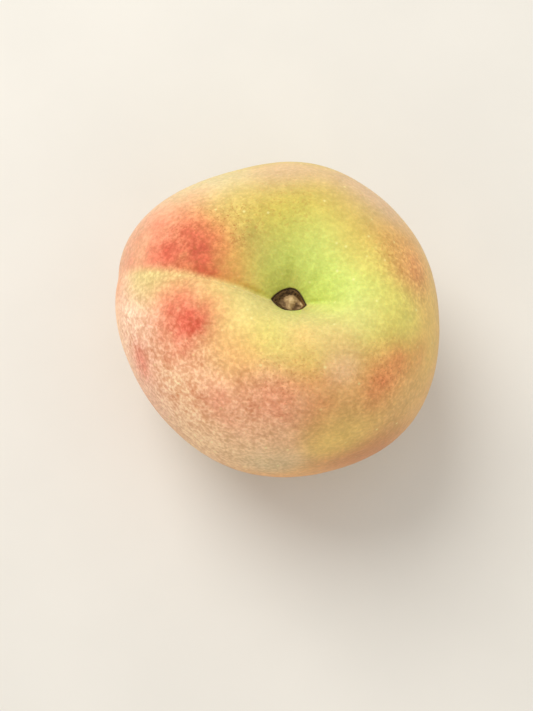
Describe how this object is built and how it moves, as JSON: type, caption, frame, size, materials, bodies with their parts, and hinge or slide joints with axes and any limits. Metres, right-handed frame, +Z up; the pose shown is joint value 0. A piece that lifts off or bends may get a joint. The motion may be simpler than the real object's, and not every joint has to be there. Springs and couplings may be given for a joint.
{
  "type": "peach",
  "caption": "Whole ripe peach, lopsided and round, with a deep stalk cavity, a suture crease and a woody stalk scar, standing on its blossom end.",
  "frame": {"origin": "on the surface that the fruit rests on, under the middle of its bounding box", "axes": "+Z up, from the blossom end to the stalk cavity; -X towards the side that carries the suture crease; +Y towards the gentle wall of the cavity"},
  "size_m": [0.0732, 0.071, 0.0637],
  "materials": {
    "skin": "matte",
    "scar": "matte"
  },
  "bodies": {
    "root": {"fruit": "skin", "stalk_scar": "scar"}
  },
  "joints": []
}
